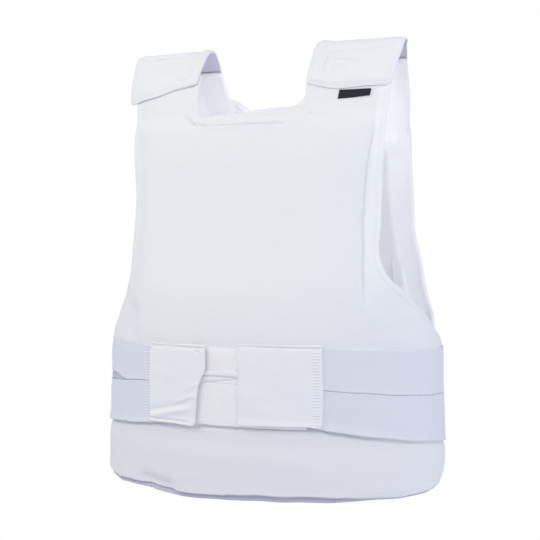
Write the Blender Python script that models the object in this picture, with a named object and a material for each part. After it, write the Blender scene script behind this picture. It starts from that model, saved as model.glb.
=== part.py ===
"""A concealable soft armour vest, in the open shape that it has when it is worn.

The vest faces -Y, up is +Z, and the wearer's left is +X. Lengths below are in millimetres, and heights are
measured up from the hem. The origin is where the vest sits: midway between the undersides of the two shoulder
straps. Every cloth piece is laid out flat, as across and up, and then wrapped round the torso form.
"""

import functools
import math

import bpy
import numpy as np
from mathutils import Vector
from mathutils.geometry import delaunay_2d_cdt

MM = 0.001

# The torso form that the vest is shaped round, a row for each level from the hem to the shoulder.
TORSO_ROWS = (
    # height, half width, half depth, centre towards the back
    (-20.0, 172.0, 110.0, 0.0),
    (60.0, 170.0, 110.0, 0.0),
    (120.0, 168.0, 110.0, 0.0),
    (155.0, 168.5, 110.0, 0.0),
    (200.0, 172.0, 108.0, 3.0),
    (250.0, 174.0, 103.0, 11.0),
    (300.0, 174.0, 97.0, 15.0),
    (350.0, 173.0, 87.0, 11.0),
    (395.0, 172.0, 69.0, 4.0),
)
SQUARENESS = 2.35
SECTION_POINTS = 721

# The side profile of the shoulder, from the front over the top to the back.
SHOULDER_START = TORSO_ROWS[-1][0]
SHOULDER_WIDTH, SHOULDER_DEPTH, SHOULDER_CENTRE = TORSO_ROWS[-1][1:]
SHOULDER_LEAN = 12.0
SHOULDER_ROWS = (
    # towards the back, height, corner radius
    (SHOULDER_CENTRE - SHOULDER_DEPTH, SHOULDER_START, 0.0),
    (-56.0, 428.0, 60.0),
    (-25.0, 469.0, 24.0),
    (26.0, 458.0, 42.0),
    (SHOULDER_CENTRE + SHOULDER_DEPTH, SHOULDER_START, 0.0),
)

# Thicknesses of the layers, and the air between two layers that touch.
PAD_THICKNESS = 9.0
COVER_THICKNESS = 3.5
COVER_MARGIN = 12.0
HEM_MARGIN = 2.0
HEM_MARGIN_RISE = (15.0, 60.0)
PAD_SLOPE = 10.0
LAYER_GAP = 0.6
EDGE_GAP = 0.5
STRAP_THICKNESS = 3.0
BAND_THICKNESS = 1.5
FLAP_THICKNESS = 2.2
LABEL_THICKNESS = 0.9

# The pads thin out into the cloth of the shoulder tabs between these heights.
TAB_FADE = (374.0, 397.0)

# The front wings rise over the back wings between these distances from the front centre line, and lie down
# again above them between these heights.
WING_RISE = (150.0, 205.0)
WING_FADE = (150.0, 205.0)
WING_LIFT = PAD_THICKNESS + 2 * LAYER_GAP
FRONT_WING_END = 283.0
BAND_DROP = 42.0

# Height of the strap's underside over the form at the top of the shoulder.
STRAP_REST = 3.0
FRONT_TAB_TOP = 447.0
BACK_TAB_TOP = 462.0

FRONT_CORNERS = (
    # across, up, corner radius: wearer's left side from the neck down, then the right side up
    (65.0, 400.5, 9.0),
    (65.0, FRONT_TAB_TOP, 8.0),
    (153.0, FRONT_TAB_TOP, 10.0),
    (149.0, 330.0, 160.0),
    (150.0, 225.0, 42.0),
    (FRONT_WING_END, 140.0, 22.0),
    (FRONT_WING_END, 11.0, 52.0),
    (60.0, 5.5, 60.0),
    (-125.0, -4.0, 60.0),
    (-FRONT_WING_END, 3.0, 45.0),
    (-FRONT_WING_END, 132.0, 22.0),
    (-150.0, 212.0, 50.0),
    (-149.0, 330.0, 160.0),
    (-153.0, FRONT_TAB_TOP, 10.0),
    (-62.0, FRONT_TAB_TOP, 8.0),
    (-60.0, 391.0, 12.0),
)
BACK_CORNERS = (
    # across, up, corner radius: seen from behind, so across is towards the wearer's right
    (66.0, 392.0, 25.0),
    (67.0, 431.0, 7.0),
    (79.0, 433.0, 3.0),
    (79.0, BACK_TAB_TOP, 8.0),
    (145.0, BACK_TAB_TOP, 8.0),
    (136.0, 352.0, 120.0),
    (138.0, 276.0, 90.0),
    (166.0, 196.0, 50.0),
    (248.0, 142.0, 20.0),
    (248.0, -4.0, 40.0),
    (120.0, -4.0, 60.0),
    (-60.0, 9.0, 60.0),
    (-248.0, 12.0, 40.0),
    (-248.0, 144.0, 20.0),
    (-168.0, 196.0, 50.0),
    (-140.0, 276.0, 90.0),
    (-136.0, 352.0, 120.0),
    (-145.0, BACK_TAB_TOP, 8.0),
    (-79.0, BACK_TAB_TOP, 8.0),
    (-79.0, 433.0, 3.0),
    (-67.0, 431.0, 7.0),
    (-66.0, 392.0, 25.0),
)
LEFT_STRAP_CORNERS = (
    # across, distance over the shoulder, corner radius
    (65.5, 27.0, 5.0),
    (94.0, 20.5, 30.0),
    (155.0, 24.0, 12.0),
    (157.0, 92.0, 60.0),
    (144.0, 150.0, 60.0),
    (138.0, 192.0, 5.0),
    (79.0, 192.0, 5.0),
    (79.0, 150.0, 60.0),
    (65.0, 92.0, 60.0),
)
RIGHT_STRAP_CORNERS = (
    (-63.0, 33.0, 5.0),
    (-63.0, 92.0, 60.0),
    (-79.0, 150.0, 60.0),
    (-79.0, 192.0, 5.0),
    (-138.0, 192.0, 5.0),
    (-144.0, 150.0, 60.0),
    (-157.0, 92.0, 60.0),
    (-155.0, 17.5, 6.0),
)
LEFT_FLAP_CORNERS = (
    (15.5, 156.0, 3.0),
    (15.5, 78.0, 3.0),
    (98.0, 79.5, 3.0),
    (98.0, 158.0, 3.0),
)
RIGHT_FLAP_CORNERS = (
    (-20.5, 153.0, 3.0),
    (-88.0, 152.5, 3.0),
    (-88.0, 74.0, 3.0),
    (-31.0, 74.0, 4.0),
    (-25.0, 110.0, 60.0),
)

# Both ends of each elastic band and its place at the side seam.
BAND_ROWS = (
    # name, side, then top and bottom at the flap, at the side and on the back
    ("side_band_upper_left", 1, 157.0, 117.3, 149.5, 99.6, 147.0, 98.0),
    ("side_band_lower_left", 1, 116.5, 79.5, 98.8, 48.0, 97.0, 47.0),
    ("side_band_upper_right", -1, 152.0, 113.5, 155.0, 108.5, 150.0, 101.0),
    ("side_band_lower_right", -1, 112.7, 74.5, 101.0, 54.0, 97.0, 48.0),
)
BAND_SIDE = 262.0
BAND_BACK_END = 385.0
LEFT_BAND_START = 84.0
RIGHT_BAND_START = 75.0

LANDING_ROWS = (
    # name, lowest and highest edge
    ("landing_field_upper", 131.0, 155.0),
    ("landing_tape", 118.3, 130.5),
    ("landing_field_lower", 76.0, 117.8),
)
LABEL_CORNERS = (
    (98.0, 404.5, 0.0),
    (130.0, 407.5, 0.0),
    (131.0, 415.0, 0.0),
    (99.0, 414.5, 0.0),
)

# Soft vertical folds of the back panel beside the arm openings.
BACK_FOLD_ROWS = (
    # across, lowest and highest point, half width, height of the fold
    (-112.0, 215.0, 375.0, 11.0, 4.0),
    (-96.0, 225.0, 340.0, 9.0, -2.5),
    (112.0, 225.0, 365.0, 12.0, 3.0),
)

# Colours as linear red, green and blue, then roughness.
MATERIAL_ROWS = {
    "cover_cloth": ((0.80, 0.82, 0.86), 0.85),
    "elastic": ((0.72, 0.75, 0.84), 0.80),
    "hook_cloth": ((0.83, 0.85, 0.88), 0.75),
    "loop_cloth": ((0.84, 0.80, 0.80), 0.95),
    "label_cloth": ((0.012, 0.012, 0.018), 0.60),
}


def smooth_step(low, high, value):
    part = min(max((value - low) / (high - low), 0.0), 1.0)
    return part * part * (3.0 - 2.0 * part)


def torso_row(height):
    """Half width, half depth and centre of the form at a height, on smooth curves through the rows."""
    rows = np.array(TORSO_ROWS)
    slopes = np.gradient(rows[:, 1:], rows[:, 0], axis=0)
    place = min(max(int(np.searchsorted(rows[:, 0], height)) - 1, 0), len(rows) - 2)
    below, above = rows[place], rows[place + 1]
    step = above[0] - below[0]
    part = (height - below[0]) / step
    start = (1 + 2 * part) * (1 - part) ** 2 * below[1:] + part * (1 - part) ** 2 * step * slopes[place]
    end = part**2 * (3 - 2 * part) * above[1:] - part**2 * (1 - part) * step * slopes[place + 1]
    return start + end


def turn_of(first, second):
    return math.atan2(first.x * second.y - first.y * second.x, first.dot(second))


def corner_arc(before, corner, after, radius, step):
    """The arc that rounds a corner, as points at most about a step apart."""
    into = (corner - before).normalized()
    out = (after - corner).normalized()
    turn = turn_of(into, out)
    pieces = max(1, math.ceil(abs(turn) * max(radius, 1.0) / step), math.ceil(abs(turn) / 0.5))
    side = Vector((-into.y, into.x)) * math.copysign(1.0, turn)
    centre = corner - into * radius * math.tan(abs(turn) / 2) + side * radius
    angles = [abs(turn) * piece / pieces for piece in range(pieces + 1)]
    return [centre + (into * math.sin(angle) - side * math.cos(angle)) * radius for angle in angles]


@functools.lru_cache(maxsize=None)
def shoulder_line():
    """The shoulder's side profile: y, height, and the length along it from its front foot."""
    corners = [(Vector(row[:2]), row[2]) for row in SHOULDER_ROWS]
    line = [corners[0][0]]
    for (before, _), (corner, radius), (after, _) in zip(corners, corners[1:], corners[2:]):
        line += corner_arc(before, corner, after, radius, 1.0)
    line.append(corners[-1][0])
    line = np.array([tuple(point) for point in line])
    length = np.concatenate([[0.0], np.cumsum(np.linalg.norm(np.diff(line, axis=0), axis=1))])
    return line[:, 0], line[:, 1], length


def shoulder_length():
    return shoulder_line()[2][-1]


def shoulder_level(over):
    """Height, face and centre of the shoulder, over measured from the front foot to the back foot."""
    y, height, length = shoulder_line()
    centre = SHOULDER_CENTRE - SHOULDER_LEAN * math.sin(math.pi * over / length[-1])
    return np.interp(over, length, height), np.interp(over, length, y), centre


@functools.lru_cache(maxsize=None)
def section(up, back):
    """The form's half section from the centre of one face round the side: height, x, y, length along it."""
    if up <= SHOULDER_START:
        height = up
        width, depth, centre = torso_row(up)
        face = centre + (depth if back else -depth)
    else:
        over = up - SHOULDER_START
        height, face, centre = shoulder_level(shoulder_length() - over if back else over)
        width = SHOULDER_WIDTH
    angle = np.linspace(0.0, math.pi, SECTION_POINTS)
    power = 2.0 / SQUARENESS
    x = width * np.abs(np.sin(angle)) ** power
    y = centre + (face - centre) * np.sign(np.cos(angle)) * np.abs(np.cos(angle)) ** power
    length = np.concatenate([[0.0], np.cumsum(np.hypot(np.diff(x), np.diff(y)))])
    return height, x, y, length


def on_front(across, up):
    """A point of the form, across measured round it from the front centre towards the wearer's left."""
    height, x, y, length = section(round(up, 3), False)
    place = abs(across)
    return Vector((math.copysign(np.interp(place, length, x), across), np.interp(place, length, y), height))


def on_back(across, up):
    """A point of the form, across measured round it from the back centre towards the wearer's right."""
    height, x, y, length = section(round(up, 3), True)
    place = abs(across)
    return Vector((math.copysign(np.interp(place, length, x), -across), np.interp(place, length, y), height))


def on_shoulder(across, over):
    """A point of the shoulder, over measured from its front foot across the top to its back foot."""
    height, face, centre = shoulder_level(over)
    fullness = (1.0 - (abs(across) / SHOULDER_WIDTH) ** SQUARENESS) ** (1.0 / SQUARENESS)
    return Vector((across, centre + (face - centre) * fullness, height))


def rest_point():
    """Where the vest sits: under the middle of the straps, at the top of the shoulder."""
    y, height, _ = shoulder_line()
    top = int(np.argmax(height))
    return Vector((0.0, y[top], height[top] + STRAP_REST))


def lifted(surface, across, up, lift):
    """The point of the surface raised by lift along its normal, in metres from the origin."""
    reach = 0.6
    along = surface(across + reach, up) - surface(across - reach, up)
    upward = surface(across, up + reach) - surface(across, up - reach)
    normal = along.cross(upward).normalized()
    return (surface(across, up) + normal * lift - rest_point()) * MM


def rounded_outline(corners, step):
    """The outline through rows of across, up and radius: arcs at the corners, and points every step between."""
    corners = [(Vector(row[:2]), row[2]) for row in corners]
    stops = []
    for number, (corner, radius) in enumerate(corners):
        before = corners[number - 1][0]
        after = corners[(number + 1) % len(corners)][0]
        stops += corner_arc(before, corner, after, radius, step)
    outline = []
    for number, stop in enumerate(stops):
        following = stops[(number + 1) % len(stops)]
        length = (following - stop).length
        if length < 0.2:
            continue
        pieces = max(1, round(length / step))
        outline += [stop.lerp(following, piece / pieces) for piece in range(pieces)]
    area = sum(a.x * b.y - a.y * b.x for a, b in zip(outline, outline[1:] + outline[:1]))
    return outline if area > 0 else outline[::-1]


def distances(points, outline):
    """Each point's distance to the outline, and whether it lies inside."""
    points = np.array([tuple(p) for p in points])[:, None]
    start = np.array([tuple(p) for p in outline])[None]
    end = np.roll(start, -1, axis=1)
    run = end - start
    part = np.clip(((points - start) * run).sum(2) / (run * run).sum(2), 0.0, 1.0)
    nearest = np.linalg.norm(points - start - run * part[..., None], axis=2).min(1)
    above = (start[..., 1] > points[..., 1]) != (end[..., 1] > points[..., 1])
    slope = (points[..., 1] - start[..., 1]) / np.where(run[..., 1] == 0, 1e-9, run[..., 1])
    inside = (above & (points[..., 0] < start[..., 0] + slope * run[..., 0])).sum(1) % 2 == 1
    return nearest, inside


def inset_ring(outline, inset, step):
    """Points inside the outline at one distance from it, no closer together than about half a step."""
    ring = []
    for number, point in enumerate(outline):
        along = (outline[(number + 1) % len(outline)] - outline[number - 1]).normalized()
        ring.append(point + Vector((-along.y, along.x)) * inset)
    nearest, inside = distances(ring, outline)
    kept = []
    for point, near, within in zip(ring, nearest, inside):
        if within and near > 0.96 * inset and all((point - other).length > 0.5 * step for other in kept):
            kept.append(point)
    return kept


def filled(outline, steps, insets):
    """The outline filled with triangles: its points, and the triangles as rows of three numbers."""
    step_across, step_up = steps
    points = list(outline)
    for inset in insets:
        points += inset_ring(outline, inset, step_up)
    corner = np.array([tuple(p) for p in outline])
    low, high = corner.min(0), corner.max(0)
    columns = np.arange(math.ceil(low[0] / step_across), math.floor(high[0] / step_across) + 1) * step_across
    rows = np.arange(math.ceil(low[1] / step_up), math.floor(high[1] / step_up) + 1) * step_up
    lattice = [Vector((x, y)) for y in rows for x in columns]
    clear = (max(insets) if insets else 0.0) + 0.45 * min(steps)
    if lattice:
        nearest, inside = distances(lattice, outline)
        points += [p for p, near, within in zip(lattice, nearest, inside) if within and near > clear]
    loop = list(range(len(outline)))
    edges = list(zip(loop, loop[1:] + loop[:1]))
    made, _, triangles, *_ = delaunay_2d_cdt(points, edges, [loop], 1, 1e-4)
    return made, [list(triangle) for triangle in triangles]


def boundary_of(triangles):
    """The directed edges that only one triangle has."""
    edges = {(t[i], t[(i + 1) % 3]) for t in triangles for i in range(3)}
    return [edge for edge in edges if edge[::-1] not in edges]


def cloth_piece(name, material, corners, surface, lift, thickness, steps, insets=()):
    """A solid cloth piece: its outline laid on the surface at lift, and thickness thick.

    lift is a function of across and up. thickness is a function of across, up and the distance to the edge.
    """
    outline = rounded_outline(corners, min(steps))
    flat, triangles = filled(outline, steps, insets)
    edge_distance, _ = distances(flat, outline)
    inner = [lifted(surface, p.x, p.y, lift(p.x, p.y)) for p in flat]
    outer = [
        lifted(surface, p.x, p.y, lift(p.x, p.y) + thickness(p.x, p.y, near))
        for p, near in zip(flat, edge_distance)
    ]
    count = len(flat)
    faces = [[v + count for v in triangle] for triangle in triangles]
    faces += [triangle[::-1] for triangle in triangles]
    faces += [[start, end, end + count, start + count] for start, end in boundary_of(triangles)]
    mesh = bpy.data.meshes.new(name)
    mesh.from_pydata(inner + outer, [], faces)
    mesh.shade_smooth()
    mesh.set_sharp_from_angle(angle=math.radians(40))
    mesh.materials.append(bpy.data.materials[material])
    piece = bpy.data.objects.new(name, mesh)
    bpy.context.scene.collection.objects.link(piece)
    return piece


def pad_thickness(across, up, near):
    """Thin cover cloth at the edge and in the shoulder tabs, and the full pad inside, close to the hem."""
    margin = HEM_MARGIN + (COVER_MARGIN - HEM_MARGIN) * smooth_step(*HEM_MARGIN_RISE, up)
    pad = smooth_step(margin, margin + PAD_SLOPE, near) * (1.0 - smooth_step(*TAB_FADE, up))
    return COVER_THICKNESS + (PAD_THICKNESS - COVER_THICKNESS) * pad


def front_lift(across, up):
    return WING_LIFT * smooth_step(*WING_RISE, abs(across)) * (1.0 - smooth_step(*WING_FADE, up))


def back_lift(across, up):
    """The back lies on the form, apart from its folds beside the arms."""
    lift = 0.0
    for place, low, high, half_width, height in BACK_FOLD_ROWS:
        ends = smooth_step(low, low + 40.0, up) * (1.0 - smooth_step(high - 40.0, high, up))
        lift += height * ends * math.exp(-(((across - place) / half_width) ** 2))
    return lift


def band_lift(across, up):
    """Over the front panel, up with the front wing, and down to the back panel behind the wing's end."""
    rise = smooth_step(*WING_RISE, abs(across))
    drop = smooth_step(FRONT_WING_END + 2.0, FRONT_WING_END + 2.0 + BAND_DROP, abs(across))
    return PAD_THICKNESS + LAYER_GAP + WING_LIFT * (rise - drop)


def flap_lift(across, up):
    return PAD_THICKNESS + BAND_THICKNESS + 2 * LAYER_GAP


def strap_lift(across, over):
    """On the front tab, down onto the shoulder, and up onto the back tab."""
    front_tab = FRONT_TAB_TOP - SHOULDER_START
    back_tab = shoulder_length() - (BACK_TAB_TOP - SHOULDER_START)
    on_tab = COVER_THICKNESS + LAYER_GAP
    down = smooth_step(front_tab + 2.0, front_tab + 24.0, over)
    up = smooth_step(back_tab - 24.0, back_tab - 2.0, over)
    return on_tab + (STRAP_REST - on_tab) * (down - up)


def even(amount):
    """A thickness that is the same all over."""
    return lambda across, up, near: amount


def make_materials():
    for name, (colour, roughness) in MATERIAL_ROWS.items():
        material = bpy.data.materials.new(name)
        material.use_nodes = True
        shader = material.node_tree.nodes["Principled BSDF"]
        shader.inputs["Base Color"].default_value = (*colour, 1.0)
        shader.inputs["Roughness"].default_value = roughness
        shader.inputs["Metallic"].default_value = 0.0


def make_panels():
    insets = (COVER_MARGIN, COVER_MARGIN + PAD_SLOPE)
    steps = (17.0, 17.0)
    cloth_piece("front_panel", "cover_cloth", FRONT_CORNERS, on_front, front_lift, pad_thickness, steps, insets)
    cloth_piece("back_panel", "cover_cloth", BACK_CORNERS, on_back, back_lift, pad_thickness, steps, insets)


def make_straps():
    for name, corners in (
        ("shoulder_strap_left", LEFT_STRAP_CORNERS),
        ("shoulder_strap_right", RIGHT_STRAP_CORNERS),
    ):
        cloth_piece(name, "cover_cloth", corners, on_shoulder, strap_lift, even(STRAP_THICKNESS), (11.0, 9.0))


def make_bands():
    for name, side, top, bottom, side_top, side_bottom, back_top, back_bottom in BAND_ROWS:
        start = LEFT_BAND_START if side > 0 else RIGHT_BAND_START
        corners = (
            (side * start, top, 0.0),
            (side * BAND_SIDE, side_top, 150.0),
            (side * BAND_BACK_END, back_top, 0.0),
            (side * BAND_BACK_END, back_bottom, 0.0),
            (side * BAND_SIDE, side_bottom, 150.0),
            (side * start, bottom, 0.0),
        )
        cloth_piece(name, "elastic", corners, on_front, band_lift, even(BAND_THICKNESS), (9.0, 24.0))


def make_closure():
    """The two hook flaps, and the fields and tape that they close on."""
    for name, corners in (
        ("closure_flap_left", LEFT_FLAP_CORNERS),
        ("closure_flap_right", RIGHT_FLAP_CORNERS),
    ):
        cloth_piece(name, "hook_cloth", corners, on_front, flap_lift, even(FLAP_THICKNESS), (14.0, 14.0))
    low = -RIGHT_BAND_START + EDGE_GAP
    high = LEFT_BAND_START - EDGE_GAP
    for name, bottom, top in LANDING_ROWS:
        corners = ((low, bottom, 0.0), (high, bottom, 0.0), (high, top, 0.0), (low, top, 0.0))
        cloth_piece(name, "loop_cloth", corners, on_front, band_lift, even(BAND_THICKNESS), (14.0, 14.0))


def label_lift(across, up):
    return COVER_THICKNESS + LAYER_GAP


def make_label():
    """A plain label that hangs out under the left strap's flap."""
    thickness = even(LABEL_THICKNESS)
    cloth_piece("neck_label", "label_cloth", LABEL_CORNERS, on_front, label_lift, thickness, (11.0, 11.0))


def main():
    for old in list(bpy.data.objects):
        bpy.data.objects.remove(old)
    make_materials()
    make_panels()
    make_straps()
    make_bands()
    make_closure()
    make_label()


main()
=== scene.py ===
"""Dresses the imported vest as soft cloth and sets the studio, the camera and the light.

The vest faces -Y, up is +Z, and the wearer's left is +X. Lengths are millimetres, and heights are measured
up from the hem, until place() turns them into the frame's metres. Every cloth piece is cut flat, as across
and up, and wrapped round the same torso form that its solid was wrapped round.
"""

import functools
import math

import bpy
import numpy as np
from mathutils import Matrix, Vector
from mathutils.geometry import delaunay_2d_cdt
from mathutils.kdtree import KDTree

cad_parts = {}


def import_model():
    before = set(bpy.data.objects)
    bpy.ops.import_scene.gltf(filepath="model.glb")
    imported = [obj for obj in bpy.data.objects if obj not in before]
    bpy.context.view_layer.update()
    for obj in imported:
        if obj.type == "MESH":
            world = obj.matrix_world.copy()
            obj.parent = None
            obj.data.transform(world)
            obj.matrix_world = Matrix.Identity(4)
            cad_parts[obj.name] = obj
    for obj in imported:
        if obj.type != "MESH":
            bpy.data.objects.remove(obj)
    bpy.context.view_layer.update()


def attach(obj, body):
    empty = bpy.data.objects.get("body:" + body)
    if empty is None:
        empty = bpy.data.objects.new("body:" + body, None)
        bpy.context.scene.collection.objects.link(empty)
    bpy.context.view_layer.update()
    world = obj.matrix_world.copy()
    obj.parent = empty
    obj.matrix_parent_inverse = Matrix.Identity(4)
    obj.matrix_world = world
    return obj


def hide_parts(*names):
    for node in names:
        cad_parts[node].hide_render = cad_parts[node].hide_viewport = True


MM = 0.001

# The torso form, with the same rows as the solids.
TORSO_ROWS = (
    # height, half width, half depth, centre towards the back
    (-20, 172, 110, 0),
    (60, 170, 110, 0),
    (120, 168, 110, 0),
    (155, 168.5, 110, 0),
    (200, 172, 108, 3),
    (250, 174, 103, 11),
    (300, 174, 97, 15),
    (350, 173, 87, 11),
    (395, 172, 69, 4),
)
SQUARENESS = 2.35
SECTION_POINTS = 721
SHOULDER_START = TORSO_ROWS[-1][0]
SHOULDER_WIDTH, SHOULDER_DEPTH, SHOULDER_CENTRE = TORSO_ROWS[-1][1:]
SHOULDER_LEAN = 12
SHOULDER_ROWS = (
    # towards the back, height, corner radius
    (SHOULDER_CENTRE - SHOULDER_DEPTH, SHOULDER_START, 0),
    (-56, 428, 60),
    (-25, 469, 24),
    (26, 458, 42),
    (SHOULDER_CENTRE + SHOULDER_DEPTH, SHOULDER_START, 0),
)
STRAP_REST = 3

# Thicknesses of the layers, and the air between two layers that touch.
PAD_THICKNESS = 9
COVER_THICKNESS = 3.5
LAYER_GAP = 0.6
EDGE_GAP = 0.5
STRAP_THICKNESS = 3
BAND_THICKNESS = 1.5
FLAP_THICKNESS = 2.2
LABEL_THICKNESS = 0.9
HEM_THICKNESS = 8.4

# The insert stops this far from the cover's edge, and its edge then rises over this slope. The hem's values
# give way to the side's over HEM_RISE, and the insert ends below the tabs over TAB_FADE.
NECK_MARGIN, NECK_SLOPE = 9, 6
ARM_MARGIN, ARM_SLOPE = 2, 15
HEM_MARGIN, HEM_SLOPE = 2, 8
HEM_RISE = (14, 55)
TAB_FADE = (372, 397)

# The cover is stitched down beside the arm along this line, and stands up a little between it and the arm.
ARM_SEAM = (
    (136, 408), (134, 372), (131.5, 355), (129.3, 336), (128, 316), (127.4, 300), (127.6, 275),
    (129.5, 250), (133, 202), (137, 178),
)
ARM_SEAM_FADE = (185, 225, 345, 392)

# Inside the back panel the insert ends along this line, well before the arm opening.
BACK_INSERT_EDGE = ((106, 372), (103, 335), (106, 290), (111.5, 260), (118.5, 226), (128, 196))
BACK_INSERT_FADE = (178, 205, 345, 372)

# Each panel's insert: half the neckline seam's width, the line beside the arm, and where that line counts.
FRONT_NECK, BACK_NECK = 60, 66
FRONT_INSERT = FRONT_NECK, ARM_SEAM, ARM_SEAM_FADE
BACK_INSERT = BACK_NECK, BACK_INSERT_EDGE, BACK_INSERT_FADE
INSERT_EDGE = (-1.7, 1.7)

# Heights between which a panel's side edge becomes its neckline, and where its padding rises to its fullest.
NECK_ZONE = (362, 380)
CROWN = (8, 60)

# The front's wings rise over the back panel towards the side, not above the belt. Past their ends the bands
# drop to the back panel.
WING_RISE = (150, 205)
WING_FADE = (150, 205)
WING_LIFT = PAD_THICKNESS + 2 * LAYER_GAP
FRONT_WING_END, BAND_DROP = 283, 42
FRONT_TAB_TOP, BACK_TAB_TOP = 447, 469

# The lower edge of the belt of bands, flaps and fields, and the crease that it makes on the panel.
BELT_LINE = (
    (-262, 50.5), (-165, 60.5), (-128, 65.5), (-90, 70), (-86, 72.3), (-31, 72.3), (-28, 74.3), (13, 74.3),
    (17, 76.3), (98, 77.8), (104, 74.6), (160, 64.7), (190, 59.4), (262, 46.6),
)
BELT_END = 285
BELT_CREASE_DEPTH, BELT_CREASE_WIDTH = 3.2, 1.6
BELT_OFFSETS = (-3.2, -2, -1, 0, 1, 2, 3.2)

# The gap between the bands on the wearer's right shows a hollow in the panel, and the darker lining cloth is
# put in the gap as painted shade.
BELT_FOLDS = ((-285, 108, -150, 110, 3.4, 2),)
PAINTED_GAP_SHADE = -125, 96, 117

# The belt of bands presses this far into the panels in front and at the sides, between these heights. On
# each side the upper band settles this far towards the panel's edge.
BAND_PRESS, SIDE_PRESS = 0.9, 1.2
BAND_ZONE = (40, 62, 142, 166)
BAND_SETTLES = {1: 0.3, -1: 2}

# The flaps lie on the fields, which lie on the panel.
FLAP_LIFT = PAD_THICKNESS + BAND_THICKNESS + 2 * LAYER_GAP - BAND_PRESS

# Above the belt, the front's edge on the wearer's right lies closer to the body by this much.
SIDE_SINKS = 6

FRONT_CORNERS = (
    # across, up, corner radius
    (63.5, 400.5, 14), (63, FRONT_TAB_TOP, 8), (152, FRONT_TAB_TOP, 10), (146.2, 350, 120),
    (145.8, 232, 42), (240, 165.5, 200), (FRONT_WING_END, 148, 14), (FRONT_WING_END, 14.5, 70),
    (200, 7.5, 60), (60, 4, 60), (-52, -1.6, 30), (-92, 2.2, 20), (-124, 0.8, 20), (-150, -2.2, 30),
    (-200, 2, 60), (-FRONT_WING_END, 9, 45), (-FRONT_WING_END, 132, 22), (-146, 208, 40),
    (-147.3, 330, 130), (-153, FRONT_TAB_TOP, 10), (-62, FRONT_TAB_TOP, 8), (-60, 391, 12),
)
BACK_CORNERS = (
    # across, up, corner radius: seen from behind, so across is towards the wearer's right
    (46, 392, 20), (54, 415, 12), (67, 430, 4), (75.5, 433, 3), (75, BACK_TAB_TOP, 4),
    (145, BACK_TAB_TOP, 8), (136, 352, 120), (138, 276, 90), (166, 196, 50), (248, 142, 20), (248, -4, 40),
    (120, -4, 60), (-60, 9, 60), (-248, 12, 40), (-248, 144, 20), (-166, 196, 50), (-136.5, 270, 90),
    (-136, 352, 120), (-149, 420, 60), (-150, BACK_TAB_TOP, 4), (-79, BACK_TAB_TOP, 8), (-79, 433, 3),
    (-67, 430, 4), (-54, 415, 12), (-46, 392, 20),
)
LEFT_STRAP_CORNERS = (
    # across, distance over the shoulder, corner radius
    (63.5, 27, 5), (94, 20.5, 30), (148, 25, 9), (158.5, 92, 60), (146, 145, 60), (138, 192, 5),
    (79, 192, 5), (79, 150, 60), (63, 92, 60),
)
RIGHT_STRAP_CORNERS = (
    (-63, 33, 5), (-63, 92, 60), (-78, 140, 60), (-80, 192, 5), (-138, 192, 5), (-146, 150, 60),
    (-160, 92, 60), (-157.5, 17, 7),
)
LEFT_FLAP_CORNERS = (15.5, 158.3, 3), (15.5, 78, 3), (98, 79.5, 3), (98, 159.7, 3)
RIGHT_FLAP_CORNERS = (
    (-19, 156, 3), (-88, 155.2, 3), (-88, 74, 3), (-30.5, 74, 4), (-27.5, 112, 25), (-18.5, 132, 25),
)
BAND_ROWS = (
    # name, side, then the top and the bottom at each of the stops along the band
    ("side_band_upper_left", 1, (157, 155.1, 153.6, 149.5, 147), (117, 112.6, 108.8, 99.2, 98)),
    ("side_band_lower_left", 1, (116.9, 112.5, 108.7, 99.1, 97.2), (79.5, 71.7, 65.2, 48, 47)),
    ("side_band_upper_right", -1, (152, 152.8, 153.4, 155, 150), (116.2, 111.6, 114.8, 111, 101)),
    ("side_band_lower_right", -1, (116.1, 111.3, 106.3, 100.5, 97), (73, 67, 62, 52, 48)),
)

# Where each band starts, bends and ends, and the radii that round its outline there.
LEFT_BAND_START, RIGHT_BAND_START, BAND_BACK_END = 84, 75, 385
BAND_STOPS = 128, 165, 262, BAND_BACK_END
BAND_ROUNDING = 0, 30, 50, 150, 0

# The fields that the flaps close on, and the height at which the two narrow tapes between them meet.
FIELD_TOP, TAPE_SPLIT = 155, 125.2
LANDING_ROWS = (
    # name, lowest and highest edge
    ("landing_field_upper", 130.9, FIELD_TOP),
    ("landing_tape", 118.1, 131.3),
    ("landing_field_lower", 76, 118.4),
)
LABEL_CORNERS = (98, 404.5, 0), (130, 407.5, 0), (131, 415, 0), (99, 414.5, 0)

# How far a sewn edge strays from its pattern, and the side of the table that random heights come from.
WAVER = 0.8
RIPPLE_CELLS = 97

# Painted light and painted shade: how much lighter thin cloth is painted than padded cloth, standing in for
# light through it, and how far the pad's inner face is painted darker the other way. The margin on the
# wearer's right and the back's tabs take a share of it.
PAINTED_THIN_LIGHT, PAINTED_INNER_SHADE = 0.065, 2.4
RIGHT_MARGIN_PAINTED_LIGHT, BACK_TAB_PAINTED_LIGHT = 0.35, 0.62
BACK_TAB_ZONE = (396, 424)

# A fold under this half width gets points of its own, at these shares of it, and a seam beside the arm gets
# them at these distances.
NARROW_FOLD = 3.3
CREASE_OFFSETS = (-2, -1.3, -0.65, 0, 0.65, 1.3, 2)
SEAM_OFFSETS = (-4.6, -3.4, -2.3, -1.5, -0.75, 0, 0.75, 1.5, 2.3, 3.4)

# The spacing of the points on each kind of piece and along an outline, where a shorter edge is left out.
PANEL_STEP, STRAP_STEP, BAND_STEP = 2.9, 1.9, 2.2
FIELD_STEP, TAPE_STEP, FLAP_STEP, LABEL_STEP = 1.6, 1.1, 1.3, 1.2
OUTLINE_STEP, SHORTEST_EDGE = 2.6, 0.2

# The radius that rounds a panel's edge. Thinner pieces are round across their whole edge.
PANEL_ROUNDING = 4.2

# Seams: the pitch of their stitches and the radius of their thread.
NECK_STITCH, EDGE_STITCH = (3.2, 0.3), (3.4, 0.3)
STRAP_STITCH, FLAP_STITCH = (3, 0.28), (2.8, 0.22)
STRAP_SEAM, FLAP_SEAM = 4.6, 2.2

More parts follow.
